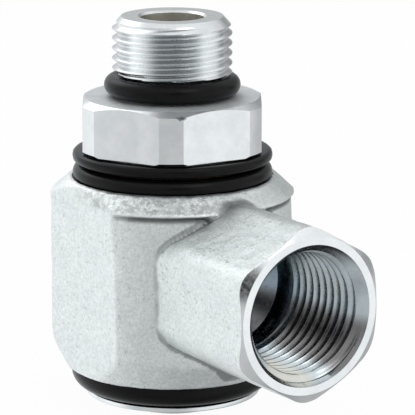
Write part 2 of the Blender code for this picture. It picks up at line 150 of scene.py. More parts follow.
MALE_END_SLOPE = 0.89
MALE_END_LENGTH = 1.5
MALE_FACES_FROM = 8.2                # radius past which the faces over the neck are the thread's
BORE_MARGIN = 0.05
LEVEL_MARGIN = 0.02
FLOW_BORE_RADIUS = 5.1
FLOW_BORE_LIP = 0.35
FLOW_BORE_END = PORT_LEVEL - 4.2
FLOW_BORE_TIP = PORT_LEVEL - 7.26

# Rings and washers
RING_STEPS = 144
RING_SECTION_STEPS = 24
RING_SMOOTHING = 50
PORT_RING_CENTRE = 9.3
PORT_RING_SECTION = 3.1
UPPER_SEAL_CENTRE = 14.35
UPPER_SEAL_SECTION = 3.2
UPPER_SEAL_RISE = 0.6                # above the top of the housing
DUST_WASHER_BORE = 12.2
DUST_WASHER_EDGE = 0.85
LOWER_SEAL_CENTRE = 13.7
LOWER_SEAL_SECTION = 5.4
LOWER_SEAL_DROP = 0.8                # below the bottom of the housing
LOWER_SEAL_LAND = 0.9                # from the centre to the flat inner side
RETAINER_RADII = (8.5, 14.0)
RETAINER_LEVELS = (2.0, 2.8)
RETAINER_EDGE = 0.2
CLIP_RADII = (7.3, 9.8)
CLIP_LEVELS = (0.9, 1.7)
CLIP_EDGE = 0.12
CLIP_OPENING = radians(44)

# Section of a thread over one pitch: place along the axis, then depth, both from 0 to 1
THREAD_SECTION = [(0.0, 0.0), (0.045, 0.0), (0.075, 0.05), (0.15, 0.27), (0.23, 0.50),
                  (0.31, 0.73), (0.385, 0.94), (0.44, 1.0), (0.56, 1.0), (0.615, 0.94),
                  (0.69, 0.73), (0.77, 0.50), (0.85, 0.27), (0.925, 0.05), (0.955, 0.0)]

# Axes that turning marks run round: a point and the number of the direction
SWIVEL_AXIS = ((0.0, 0.0, 0.0), 2)
PORT_AXIS = ((0.0, 0.0, PORT_LEVEL), 0)

# Tones of the forged skin, and of the shade painted onto it
SKIN_TONES = ((0.81, 0.845, 0.84), (0.88, 0.91, 0.90))
DARK_FLECK = (0.62, 0.655, 0.65)
LIGHT_FLECK = (0.97, 0.985, 0.98)
PIT = (0.42, 0.44, 0.43)
# painted shade in concave creases
CREASE_SHADE = (0.22, 0.23, 0.225)
WORN_EDGE = (0.93, 0.935, 0.93)
# darker blotches above the barrel's step
LEDGE_BLOTCH = (0.38, 0.39, 0.38)
# painted shadow under the barrel's step
LEDGE_PAINTED_SHADOW = (0.14, 0.145, 0.14)

# Tones between which the turned surfaces vary
BRIGHT_TONES = ((0.76, 0.78, 0.785), (0.85, 0.865, 0.87))
# brighter copy of the turned zinc: painted highlight on the port's faced end, also used in the bores
FACED_LIT_TONES = ((0.84, 0.86, 0.865), (0.92, 0.935, 0.94))
# darker, bluer copy of the turned zinc: painted shade inside the port
BORED_SHADED_TONES = ((0.55, 0.61, 0.64), (0.65, 0.71, 0.74))
# darker copy of the turned zinc: painted shade over the whole male thread
THREAD_SHADED_TONES = ((0.65, 0.675, 0.685), (0.74, 0.765, 0.775))
# cream tones: a painted warm reflection in the stem's flow bore
FLOW_BORE_REFLECTION_TONES = ((0.66, 0.635, 0.56), (0.76, 0.735, 0.66))
TURNING_MARK = (0.66, 0.68, 0.69)

# Tones of the other pieces, dark and light
RUBBER_TONES = ((0.005, 0.0046, 0.0052), (0.03, 0.029, 0.030))
BRONZE_TONES = ((0.50, 0.33, 0.15), (0.66, 0.46, 0.24))
PLASTIC_TONES = ((0.74, 0.72, 0.66), (0.84, 0.82, 0.77))
SPRING_TONES = ((0.20, 0.20, 0.21), (0.32, 0.32, 0.33))

# Painted shade and highlight inside the port
PORT_SHADE_SPAN = (18.5, 25.0)           # along X: full painted shade up to the first, none from the second
PORT_DEPTH_SHADE = (0.36, 0.45, 0.51)
# side of the port's wall that gets painted shade, and its dark brown
SHADED_SIDE = (0.0, 0.777, -0.629)
PORT_PAINTED_SHADE = (0.13, 0.105, 0.10)
# bottom of the port, which gets a painted warm highlight, and its cream
HIGHLIGHT_SIDE = (0.0, -0.342, -0.940)
PORT_PAINTED_HIGHLIGHT = (0.86, 0.80, 0.66)

# Painted shade and highlights on the male thread
# front of the thread, nearly towards the camera
THREAD_FRONT = (0.870, -0.492, 0.0)
THREAD_PAINTED_SHADE = (0.40, 0.42, 0.43)
THREAD_PAINTED_HIGHLIGHT = (0.93, 0.95, 0.95)

# Knock at the front corner of the hexagon
NICK = (13.55, -7.05, HEX_TOP - 0.85)
NICK_SCALE = (0.5, 0.5, 1.3)         # what distances from it are multiplied by: wide and low
NICK_TONE = (0.20, 0.20, 0.21)

# Studio
TO_CAMERA = Vector((0.8339, -0.5519, 0.0))
TO_RIGHT = Vector((0.5519, 0.8339, 0.0))
STUDIO_LEVEL = 0.95
STUDIO_COLOUR = (0.96, 0.985, 1.0, 1.0)
WHITE = (1.0, 1.0, 1.0, 1.0)

# Soft lobes of the studio. First the direction, in degrees to the camera's right and degrees
# up, then the cosines at which the lobe begins and is full, then the light that it adds.
LOBES = [
    ((-16, -13), 0.50, 0.90, -0.32),
    ((66, -13), 0.80, 0.98, 0.07),
    ((10, 18), 0.95, 0.995, -0.70),
    ((-86, -4), 0.92, 0.985, 0.14),
    ((155, 8), 0.42, 0.97, -0.37),
    ((158, 20), 0.90, 0.99, -0.22),
    ((121, 4), 0.965, 0.995, -0.30),
    ((-118, -4), 0.50, 0.98, 0.09),
    ((-140, 45), 0.87, 0.97, 1.10),
    ((138, 40), 0.90, 0.98, 0.15),
    ((180, 70), 0.85, 0.96, -0.65),
    ((107, -60), 0.55, 0.98, -0.45),
    ((-30, -75), 0.60, 0.98, -0.22),
]
KEY_DIRECTION = (38, 48)
KEY_TARGET = Vector((0.005, -0.002, 0.030))
KEY_DISTANCE = 0.7
KEY_SIZE = 0.30
KEY_POWER = 0.35
KEY_COLOUR = (1.0, 0.985, 0.96)
FLOOR_LEVEL = -0.05
FLOOR_REACH = 6000
FLOOR_COLOUR = (0.86, 0.865, 0.87, 1.0)
FLOOR_GLOW = 0.96                    # share of the floor that shows plain white to the camera

# Camera, in metres and degrees. The lens is given in pixels, for a picture 415 pixels wide.
CAMERA_DISTANCE = 0.4683
CAMERA_SHIFT = 0.00558
CAMERA_HEIGHT = 0.1400
CAMERA_PITCH = 12.98
SENSOR_WIDTH = 36.0
LENS_PIXELS = 3000
PICTURE_PIXELS = 415


# Mesh helpers

def new_object(name, vertices, faces, materials=()):
    """Object from points in millimetres, with doubled points merged."""
    mesh = bpy.data.meshes.new(name)
    mesh.from_pydata([tuple(MM * c for c in v) for v in vertices], [], faces)
    bm = bmesh.new()
    bm.from_mesh(mesh)
    bmesh.ops.remove_doubles(bm, verts=bm.verts, dist=MERGE_DISTANCE)
    bmesh.ops.dissolve_degenerate(bm, edges=bm.edges, dist=MERGE_DISTANCE)
    bmesh.ops.recalc_face_normals(bm, faces=bm.faces)
    bm.to_mesh(mesh)
    bm.free()
    item = bpy.data.objects.new(name, mesh)
    bpy.context.scene.collection.objects.link(item)
    for material in materials:
        mesh.materials.append(material)
    return item


def smooth(item, angle):
    """Shade smooth, apart from edges sharper than an angle in degrees."""
    item.data.shade_smooth()
    item.data.set_sharp_from_angle(angle=radians(angle))
    return item


def box(name, low, high):
    """Box with its sides along the axes, between two opposite corners."""
    corners = [(x, y, z) for x in (low[0], high[0]) for y in (low[1], high[1])
               for z in (low[2], high[2])]
    faces = [(0, 1, 3, 2), (4, 6, 7, 5), (0, 4, 5, 1), (2, 3, 7, 6), (0, 2, 6, 4), (1, 5, 7, 3)]
    return new_object(name, corners, faces)


def turned(name, profile, materials=(), steps=128, closed=True, turn=Matrix()):
    """Spin (radius, height) points about Z, then apply a turn.

    A closed profile makes a ring. An open one starts and ends on the axis.
    """
    vertices = []
    faces = []
    count = len(profile)
    for i in range(steps):
        a = 2 * pi * i / steps
        vertices += [turn @ Vector((r * cos(a), r * sin(a), h)) for r, h in profile]
    for i in range(steps):
        j = (i + 1) % steps
        for k in range(count if closed else count - 1):
            m = (k + 1) % count
            faces.append((i * count + k, j * count + k, j * count + m, i * count + m))
    return new_object(name, vertices, faces, materials)


def arc(centre, radius, start, end, steps):
    """Points of a profile along an arc, both ends included."""
    angles = [start + (end - start) * i / steps for i in range(steps + 1)]
    return [(centre[0] + radius * cos(a), centre[1] + radius * sin(a)) for a in angles]


def rounded(points, size, steps=3):
    """Closed profile with each corner replaced by a small arc-like curve."""
    out = []
    count = len(points)
    for i, point in enumerate(points):
        p = np.array(point, float)
        before = np.array(points[i - 1], float) - p
        after = np.array(points[(i + 1) % count], float) - p
        reach = min(size, np.linalg.norm(before) / ROUND_LIMIT,
                    np.linalg.norm(after) / ROUND_LIMIT)
        a = p + before / np.linalg.norm(before) * reach
        b = p + after / np.linalg.norm(after) * reach
        for s in range(steps + 1):
            t = s / steps
            out.append(tuple((1 - t) ** 2 * a + 2 * t * (1 - t) * p + t * t * b))
    return out


def rectangle(radii, levels, edge):
    """Profile between two radii and two levels, with softened corners."""
    inner, outer = radii
    base, top = levels
    return rounded([(inner, base), (outer, base), (outer, top), (inner, top)], edge)


def threaded(name, below, above, radii, pitch, limits, materials=(), steps=160, turn=Matrix()):
    """Turned solid whose middle length carries a right-hand thread.

    below and above are the plain (radius, height) points under and over the thread.
    radii are those of the crest and the root. limits gives, for a height, the least
    and the greatest radius that the end chamfers leave.
    """
    crest, root = radii
    low = below[-1][1]
    high = above[0][1]
    turns = int((high - low) / pitch) + 2
    places = [p for p, _ in THREAD_SECTION] + [1.0]
    depths = [d for _, d in THREAD_SECTION] + [0.0]
    vertices = []
    faces = []
    for i in range(steps + 1):
        share = i / steps
        a = 2 * pi * share
        column = list(below)
        for n in range(-1, turns):
            for place, _ in THREAD_SECTION:
                height = min(max(low + pitch * (n + place + share), low), high)
                at = ((height - low) / pitch - share) % 1.0
                radius = crest + (root - crest) * np.interp(at, places, depths)
                least, most = limits(height)
                column.append((min(max(radius, least), most), height))
        column += above
        vertices += [turn @ Vector((r * cos(a), r * sin(a), h)) for r, h in column]
        count = len(column)
    for i in range(steps):
        for k in range(count - 1):
            faces.append((i * count + k, (i + 1) * count + k,
                          (i + 1) * count + k + 1, i * count + k + 1))
    return new_object(name, vertices, faces, materials)


def cut(item, tool, operation='DIFFERENCE'):
    """Apply one exact Boolean, keep the tool's material on the faces it makes, drop the tool."""
    modifier = item.modifiers.new("cut", 'BOOLEAN')
    modifier.operation = operation
    modifier.solver = 'EXACT'
    modifier.material_mode = 'TRANSFER'
    modifier.object = tool
    apply_modifiers(item)
    bpy.data.objects.remove(tool)


def apply_modifiers(item):
    """Replace the mesh with the one that its modifiers make."""
    graph = bpy.context.evaluated_depsgraph_get()
    mesh = bpy.data.meshes.new_from_object(item.evaluated_get(graph))
    item.modifiers.clear()
    item.data = mesh


# Node trees

class Tree:
    """Short hand for building a node tree."""

    def __init__(self, tree):
        self.tree = tree

    def add(self, kind, **settings):
        node = self.tree.nodes.new(kind)
        for key, value in settings.items():
            setattr(node, key, value)
        return node

    def link(self, source, target):
        self.tree.links.new(source, target)

    def feed(self, node, socket, value):
        """Give a socket a plain value or another node's result."""
        if hasattr(value, "is_linked"):
            self.link(value, node.inputs[socket])
        else:
            node.inputs[socket].default_value = value

    def math(self, operation, a, b=0.0):
        node = self.add("ShaderNodeMath", operation=operation)
        self.feed(node, 0, a)
        self.feed(node, 1, b)
        return node.outputs[0]

    def product(self, *factors):
        total = factors[0]
        for factor in factors[1:]:
            total = self.math('MULTIPLY', total, factor)
        return total

    def vector(self, operation, a, b=(0.0, 0.0, 0.0)):
        node = self.add("ShaderNodeVectorMath", operation=operation)
        self.feed(node, 0, a)
        self.feed(node, 1, b)
        return node.outputs["Value" if operation in ('DOT_PRODUCT', 'LENGTH') else "Vector"]

    def remap(self, value, low, high, to_low=0.0, to_high=1.0):
        """Soft step from to_low to to_high while the value goes from low to high."""
        node = self.add("ShaderNodeMapRange", interpolation_type='SMOOTHSTEP')
        self.feed(node, 0, value)
        for socket, number in zip((1, 2, 3, 4), (low, high, to_low, to_high)):
            node.inputs[socket].default_value = number
        return node.outputs[0]

    def mix_shaders(self, share, first, second):
        node = self.add("ShaderNodeMixShader")
        for socket, source in enumerate((share, first, second)):
            self.link(source, node.inputs[socket])
        return node.outputs[0]


class Finish(Tree):
    """The node tree of one material, with object coordinates in millimetres."""

    def __init__(self, name):
        self.material = bpy.data.materials.new(name)
        self.material.use_nodes = True
        super().__init__(self.material.node_tree)
        self.shader = self.tree.nodes["Principled BSDF"]
        place = self.add("ShaderNodeTexCoord")
        scaled = self.add("ShaderNodeVectorMath", operation='SCALE')
        self.link(place.outputs["Object"], scaled.inputs[0])
        scaled.inputs["Scale"].default_value = 1 / MM
        self.point = scaled.outputs[0]

    def noise(self, scale, detail=3.0, roughness=0.5, point=None):
        node = self.add("ShaderNodeTexNoise")
        self.link(point or self.point, node.inputs["Vector"])
        node.inputs["Scale"].default_value = scale
        node.inputs["Detail"].default_value = detail
        node.inputs["Roughness"].default_value = roughness
        return node.outputs["Fac"]

    def mix(self, share, a, b):
        """Mix two tones."""
        node = self.add("ShaderNodeMix", data_type='RGBA')
        self.feed(node, 0, share)
        for socket, value in ((6, a), (7, b)):
            if isinstance(value, tuple):
                value = (*value, 1.0)
            self.feed(node, socket, value)
        return node.outputs[2]

    def stain_and_painted_light(self, tone, colour, strength, *masks):
        """Bring a colour over a tone, as strongly as the masks let it. Used for flecks, pits and wear,
        and for painted shade and highlights.
        """
        return self.mix(self.product(*masks, strength), tone, colour)

    def parts(self, vector):
        split = self.add("ShaderNodeSeparateXYZ")
        self.link(vector, split.inputs[0])
        return split.outputs

    def length(self, a, b):
        """Distance made by two steps at right angles."""
        return self.math('SQRT', self.math('ADD', self.product(a, a), self.product(b, b)))

    def rings(self, axis):
        """Coordinates that run across turning marks: radius, place along the axis, nothing round it."""
        start, number = axis
        parts = self.parts(self.vector('SUBTRACT', self.point, start))
        across = [parts[i] for i in range(3) if i != number]
        join = self.add("ShaderNodeCombineXYZ")
        self.link(self.length(*across), join.inputs[0])
        self.link(parts[number], join.inputs[1])
        return join.outputs[0]

    def side(self, direction, axis, rings):
        """How far round to one side of an axis a point lies: 1 on that side, -1 opposite."""
        start, _ = axis
        away = self.vector('DOT_PRODUCT', self.vector('SUBTRACT', self.point, start), direction)
        return self.math('DIVIDE', away, self.parts(rings)[0])

    def bump(self, height, distance, normal=None):
        node = self.add("ShaderNodeBump")
        self.feed(node, "Height", height)
        node.inputs["Distance"].default_value = distance * MM
        node.inputs["Strength"].default_value = 1.0
        if normal:
            self.link(normal, node.inputs["Normal"])
        return node.outputs[0]

    def edge(self, radius):
        """Normals that round the edges off a little."""
        node = self.add("ShaderNodeBevel", samples=6)
        node.inputs["Radius"].default_value = radius * MM
        return node.outputs[0]

    def finish(self, **values):
        for name, value in values.items():
            self.feed(self.shader, name.replace("_", " "), value)
        return self.material


# Materials

def forged_zinc():
    """Satin zinc plate over the grainy skin of a forging, with painted shade in its creases and under
    the barrel's step.
    """
    n = Finish("forged_zinc")
    cloud = n.noise(0.22, 4, 0.6)
    grain = n.noise(2.4, 6, 0.62)
    fine = n.noise(7.0, 3, 0.5)
    speckle = n.noise(2.1, 5, 0.75)
    pits = n.remap(n.noise(1.3, 2, 0.7), 0.60, 0.72)
    bend = n.add("ShaderNodeNewGeometry").outputs["Pointiness"]
    tone = n.mix(n.remap(cloud, 0.3, 0.7), *SKIN_TONES)
    tone = n.stain_and_painted_light(tone, DARK_FLECK, 0.45, n.remap(speckle, 0.55, 0.40))
    tone = n.stain_and_painted_light(tone, LIGHT_FLECK, 0.6, n.remap(speckle, 0.52, 0.66))
    tone = n.stain_and_painted_light(tone, PIT, 0.45, pits)
    # Painted shade: concave creases, found by their pointiness, are darkened.
    tone = n.stain_and_painted_light(tone, CREASE_SHADE, 0.65, n.remap(bend, 0.4975, 0.475))
    tone = ledge_blotches_and_shadow(n, tone)
    tone = n.stain_and_painted_light(tone, WORN_EDGE, 0.7, n.remap(bend, 0.505, 0.56))
    rough = n.math('ADD', n.remap(cloud, 0.3, 0.7, 0.30, 0.38), n.product(grain, 0.14))
    height = n.math('ADD', grain, n.product(fine, 0.35))
    height = n.math('SUBTRACT', height, n.product(pits, 0.5))
    return n.finish(Base_Color=tone, Metallic=1.0, Roughness=rough, Normal=n.bump(height, 0.085))


def ledge_blotches_and_shadow(n, tone):
    """Darker blotches above the step of the barrel, and a painted shadow in the corner under the step,
    on the port side.
    """
    x, y, z = n.parts(n.point)
    edge = HOUSING_BASE + LEDGE_LEVEL
    barrel = n.remap(n.length(x, y), BARREL_RADIUS + 0.4, BARREL_RADIUS - 0.3)
    above = n.remap(z, edge - 0.3, edge + 0.5)
    front = n.remap(y, 3.0, -4.0)
    blotch = n.remap(n.noise(1.1, 4, 0.7), 0.38, 0.60)
    # Darker blotches above the step, on the port side, mostly towards -Y.
    tone = n.stain_and_painted_light(tone, LEDGE_BLOTCH, 0.66, above, n.remap(x, -4.0, 6.0), barrel, front, blotch)
    # Painted shadow along the corner under the step, between the flats.
    under = n.product(n.remap(z, edge - 1.3, edge - 0.5), n.remap(z, edge + 0.3, edge - 0.05))
    between_flats = n.remap(n.math('ABSOLUTE', y), FLAT_DISTANCE - 0.1, FLAT_DISTANCE - 2.5)
    return n.stain_and_painted_light(tone, LEDGE_PAINTED_SHADOW, 0.82, under, between_flats, n.remap(x, 2.0, 9.0), barrel)


def turned_zinc(name, axis, edge, marks=0.006, rough=0.16, tones=BRIGHT_TONES, tint=None):
    """Bright zinc plate over lathe marks that run round an axis.

    edge is the radius to which sharp edges are rounded, marks the depth of the lathe marks.
    tint is a function that adds local changes of tone, painted shade and highlights among them.
    """
    n = Finish(name)
    rings = n.rings(axis)
    coarse = n.noise(5.0, 2, 0.6, rings)
    fine = n.noise(22.0, 3, 0.6, rings)
    cloud = n.noise(0.3, 3, 0.55)
    tone = n.mix(n.remap(cloud, 0.3, 0.7), *tones)
    tone = n.stain_and_painted_light(tone, TURNING_MARK, 0.3, n.remap(fine, 0.5, 0.75))
    if tint:
        tone = tint(n, tone, rings)
    scatter = n.product(n.remap(n.noise(1.6, 4, 0.6), 0.35, 0.75), 0.10)
    height = n.math('ADD', coarse, n.product(fine, 0.5))
    return n.finish(Base_Color=tone, Metallic=1.0, Roughness=n.math('ADD', scatter, rough),
                    Normal=n.bump(height, marks, n.edge(edge)))


def port_painted_light(n, tone, rings):
    """Painted shade deep in the port and, dark brown, at one side; a painted warm highlight at the
    bottom.
    """
    # Painted shade deep inside the port.
    tone = n.mix(n.remap(n.parts(n.point)[0], *PORT_SHADE_SPAN), PORT_DEPTH_SHADE, tone)
    # Painted shade, dark brown, on one side of the port's wall.
    brown = n.remap(n.side(SHADED_SIDE, PORT_AXIS, rings), 0.83, 0.95)
    tone = n.stain_and_painted_light(tone, PORT_PAINTED_SHADE, 0.80, brown)
    # Painted warm highlight at the bottom of the port.
    yellow = n.remap(n.side(HIGHLIGHT_SIDE, PORT_AXIS, rings), 0.84, 0.97)
    return n.stain_and_painted_light(tone, PORT_PAINTED_HIGHLIGHT, 0.55, yellow)


def thread_painted_light(n, tone, rings):
    """Painted shade where the male thread faces the camera, with a painted highlight band on either
    side.
    """
    facing = n.side(THREAD_FRONT, SWIVEL_AXIS, rings)
    # Painted shade on the side of the thread that faces the camera.
    tone = n.stain_and_painted_light(tone, THREAD_PAINTED_SHADE, 0.75, n.remap(facing, 0.82, 0.99))
    # Painted highlight bands on either side of that shade.
    return n.stain_and_painted_light(tone, THREAD_PAINTED_HIGHLIGHT, 0.9, n.remap(facing, 0.50, 0.68), n.remap(facing, 0.97, 0.83))


def nick_tint(n, tone, rings):
    """Small dark knock with a ragged outline."""
    flattened = n.vector('MULTIPLY', n.vector('SUBTRACT', n.point, NICK), NICK_SCALE)
    ragged = n.math('ADD', n.vector('LENGTH', flattened), n.product(n.noise(2.2, 4, 0.7), 0.9))
    return n.mix(n.remap(ragged, 0.95, 0.62), tone, NICK_TONE)


def black_rubber():
    """Moulded rubber with a soft sheen and a little dust."""
    n = Finish("black_rubber")
    clean, dusty = RUBBER_TONES
    tone = n.stain_and_painted_light(clean, dusty, 0.25, n.remap(n.noise(3.0, 5, 0.7), 0.60, 0.78))
    rough = n.math('ADD', n.product(n.noise(0.6, 3), 0.14), 0.17)
    return n.finish(Base_Color=tone, Roughness=rough, Normal=n.bump(n.noise(6.0, 3), 0.010),
                    Specular_IOR_Level=0.13)


def plain(name, tones, metallic, rough):
    """Simple finish of the inner pieces, with a fine grain."""
    n = Finish(name)
    tone = n.mix(n.remap(n.noise(0.8, 4), 0.35, 0.7), *tones)
    uneven = n.math('ADD', n.product(n.noise(2.0, 3), 0.15), rough)
    return n.finish(Base_Color=tone, Metallic=metallic, Roughness=uneven,
                    Normal=n.bump(n.noise(5.0, 3), 0.010))


# Housing

def lay_down():
    """Turn from Z to the axis of the port."""
    return Matrix.Translation((0, 0, PORT_LEVEL)) @ Matrix.Rotation(pi / 2, 4, 'Y')


def smooth_max(a, b, reach):
    """The greater of two values, with a soft change from one to the other."""
    share = np.clip(0.5 + 0.5 * (a - b) / reach, 0, 1)
    return b + (a - b) * share + reach * share * (1 - share)


def smooth_min(a, b, reach):
    return -smooth_max(-a, -b, reach)


def cone(radius, rise, width, height):
    """Distance from a cone that narrows by width over height, above zero outside."""
    return ((radius - BARREL_RADIUS) * height + rise * width) / np.hypot(height, width)


def barrel_value(x, y, z):
    """Distance-like value of the barrel alone, with its flats, cones and step."""
    radius = np.hypot(x, y)
    fade = np.clip((z - LEDGE_LEVEL + LEDGE_FADE) / LEDGE_FADE, 0, 1)
    below = np.clip((LEDGE_LEVEL + LEDGE_SOFTNESS / 2 - z) / LEDGE_SOFTNESS, 0, 1)
    step = LEDGE_DEPTH * fade * below * below * (3 - 2 * below) * (x > 0)
    side = radius - BARREL_RADIUS + step
    top_cone = cone(radius, z - BARREL_HEIGHT + TOP_CONE_HEIGHT,
                    BARREL_RADIUS - TOP_FACE_RADIUS, TOP_CONE_HEIGHT)
    bottom_cone = cone(radius, BOTTOM_CONE_HEIGHT - z,
                       BARREL_RADIUS - BOTTOM_FACE_RADIUS, BOTTOM_CONE_HEIGHT)
    barrel = smooth_max(side, np.abs(y) - FLAT_DISTANCE, FLAT_BLEND)
    barrel = smooth_max(barrel, top_cone, FACE_BLEND)
    barrel = smooth_max(barrel, bottom_cone, BOTTOM_CONE_BLEND)
    barrel = smooth_max(barrel, z - BARREL_HEIGHT, FACE_BLEND)
    return smooth_max(barrel, -z, FACE_BLEND)


def boss_value(x, y, rise):
    """Distance-like value of the hexagonal boss before its end is faced."""
    half = PORT_ACROSS_FLATS / 2
    boss = np.abs(y) - half
    for turn in (pi / 3, 2 * pi / 3):
        flat = np.abs(y * cos(turn) + rise * sin(turn)) - half
        boss = smooth_max(boss, flat, PORT_CORNER_BLEND)
    boss = smooth_max(boss, x - PORT_REACH - BOSS_EXCESS, PORT_END_BLEND)
    return smooth_max(boss, -x, PORT_END_BLEND)


def forging(points):
    """Distance-like value of the forging's skin: below zero inside, above it outside."""
    x, y, z = points[:, 0], points[:, 1], points[:, 2]
    barrel = barrel_value(x, y, z - HOUSING_BASE)
    boss = boss_value(x, y, z - PORT_LEVEL)
    return smooth_min(barrel, boss, PORT_ROOT_BLEND)


def pull_onto_forging(points):
    """Move points onto the forging's skin. Gives them with the skin's outward directions."""
    for _ in range(PULLS):
        value = forging(points)
        gradient = np.empty_like(points)
        for axis in range(3):
            shift = np.zeros(3)
            shift[axis] = SLOPE_STEP
            rise = forging(points + shift) - forging(points - shift)
            gradient[:, axis] = rise / (2 * SLOPE_STEP)
        size = np.maximum((gradient ** 2).sum(axis=1), LEAST_SLOPE_SQUARED)
        move = np.clip(value / size, -PULL_LIMIT, PULL_LIMIT)
        points -= PULL_SHARE * move[:, None] * gradient
    return points, gradient / np.linalg.norm(gradient, axis=1)[:, None]


def waviness(points):
    """Slow unevenness of the forging, a few hundredths of a millimetre."""
    rng = np.random.default_rng(WAVE_SEED)
    total = np.zeros(len(points))
    for _ in range(WAVES):
        direction = rng.normal(size=3)
        direction *= rng.uniform(*WAVE_NUMBERS) / np.linalg.norm(direction)
        total += np.sin(points @ direction + rng.uniform(0, 2 * pi))
    return WAVE_HEIGHT * total


def rough_forging(material):
    """Barrel and boss with sharp edges, as an even mesh."""
    profile = [(0, 0), (BARREL_RADIUS, 0), (BARREL_RADIUS, BARREL_HEIGHT), (0, BARREL_HEIGHT)]
    barrel = turned("skin", profile, [material], 64, closed=False,
                    turn=Matrix.Translation((0, 0, HOUSING_BASE)))
    corner = PORT_ACROSS_FLATS / 2 / cos(pi / 6)
    end = PORT_REACH + BOSS_EXCESS
    boss = turned("boss", [(0, 0), (corner, 0), (corner, end), (0, end)],
                  [material], 6, closed=False, turn=lay_down())
    for side in (-1, 1):
        cut(barrel, box("slab", (-SLAB_REACH, side * FLAT_DISTANCE, 0),
                        (SLAB_REACH, side * SLAB_REACH, SLAB_TOP)))
    cut(barrel, boss, 'UNION')
    remesh = barrel.modifiers.new("even", 'REMESH')
    remesh.mode = 'VOXEL'
    remesh.voxel_size = VOXEL * MM
    apply_modifiers(barrel)
    return barrel


def make_skin(material):
    """Closed skin of the forging, pulled onto its exact shape from a rough even mesh."""
    skin = rough_forging(material)
    points = np.empty(len(skin.data.vertices) * 3)
    skin.data.vertices.foreach_get("co", points)
    points, outward = pull_onto_forging(points.reshape(-1, 3) / MM)
    points -= np.abs(waviness(points))[:, None] * outward
    skin.data.vertices.foreach_set("co", (points * MM).ravel())
    skin.data.update()
    skin.data.materials.clear()
    skin.data.materials.append(material)
    return skin


def facing_tool(material):
    """Cutter that faces the end of the port and turns its corners to a cone."""
    chamfer_end = PORT_REACH - (PORT_BLANK_RADIUS - PORT_FACE_RADIUS) * PORT_CHAMFER
    profile = [(0, PORT_REACH), (PORT_FACE_RADIUS, PORT_REACH), (PORT_BLANK_RADIUS, chamfer_end),
               (PORT_BLANK_RADIUS, PORT_CUTTER_END), (0, PORT_CUTTER_END)]
    return turned("facing", profile, [material], 160, closed=False, turn=lay_down())


def port_limits(height):
    """The port's thread ends in the countersink at its mouth and fades out at its inner end."""
    from_face = PORT_REACH - height
    sink = PORT_SINK_RADIUS + (PORT_SINK_DEPTH - from_face) * PORT_SINK_SLOPE
    runout = PORT_THREAD_MINOR + max(height - PORT_THREAD_END, 0.0) * PORT_RUNOUT_SLOPE
    return max(sink, 0.0), runout


def port_tool(material):
    """Cutter for the passage, the threaded bore and its mouth."""
    point = (PORT_THREAD_MINOR - PORT_PASSAGE_RADIUS) / tan(DRILL_POINT)
    below = [(0, PORT_CUTTER_START), (PORT_PASSAGE_RADIUS, PORT_CUTTER_START),
             (PORT_PASSAGE_RADIUS, PORT_BORE_END - point),
             (PORT_THREAD_MINOR, PORT_BORE_END), (PORT_THREAD_MINOR, PORT_THREAD_END)]
    above = [(PORT_SINK_RADIUS, PORT_REACH - PORT_SINK_DEPTH),
             (PORT_MOUTH_RADIUS - PORT_MOUTH_EDGE, PORT_REACH - PORT_MOUTH_EDGE),
             (PORT_MOUTH_RADIUS, PORT_REACH + PORT_MOUTH_EXCESS),
             (PORT_MOUTH_RADIUS - PORT_CUTTER_TAPER, PORT_CUTTER_END), (0, PORT_CUTTER_END)]
    return threaded("port", below, above, (PORT_THREAD_MINOR, PORT_THREAD_MAJOR), PORT_PITCH,
                    port_limits, [material], 144, lay_down())


def bore_tool(material):
    """Cutter for the stem's bore and the seats of the upper bush and the two dust seals."""
    lower_seat = LOWER_SEAL_SECTION / 2 + SEAT_GAP
    upper_seat = UPPER_SEAL_SECTION / 2 + SEAT_GAP
    seal_level = BARREL_HEIGHT + UPPER_SEAL_RISE
    hub = LOWER_SEAL_CENTRE - LOWER_SEAL_LAND - SEAT_GAP
    base = -LOWER_SEAL_DROP - CUTTER_EXCESS
    top = seal_level + CUTTER_EXCESS
    profile = [(0, base), (LOWER_SEAL_CENTRE + lower_seat, base)]
    profile += arc((LOWER_SEAL_CENTRE, -LOWER_SEAL_DROP), lower_seat, 0, pi / 2, 10)
    profile += [(hub, lower_seat - LOWER_SEAL_DROP), (hub, -LOWER_SEAL_DROP),
                (BORE_RADIUS, -LOWER_SEAL_DROP)]
    profile += [(BORE_RADIUS, BUSH_SEAT_LEVEL), (BUSH_SEAT_RADIUS, BUSH_SEAT_LEVEL),
                (BUSH_SEAT_RADIUS, seal_level)]
    profile += arc((UPPER_SEAL_CENTRE, seal_level), upper_seat, -pi, 0, 12)
    profile += [(UPPER_SEAL_CENTRE + upper_seat, top), (0, top)]
    return turned("bore", profile, [material], 96, closed=False,
                  turn=Matrix.Translation((0, 0, HOUSING_BASE)))


def make_housing(forged, faced, bored):
    """Forged skin with its machined faces and bores."""
    housing = make_skin(forged)
    cut(housing, facing_tool(faced))
    cut(housing, bore_tool(faced))
    cut(housing, port_tool(bored))
    housing.name = "housing_detailed"
    return smooth(housing, 32)


# Stem

def male_limits(height):
    """Chamfer at the free end and run-out above the neck."""
    end = MALE_END_RADIUS + (STEM_TOP - height) * MALE_END_SLOPE
    start = NECK_RADIUS + (height - THREAD_START) * MALE_RUNOUT_SLOPE
    return 0.0, min(end, start)


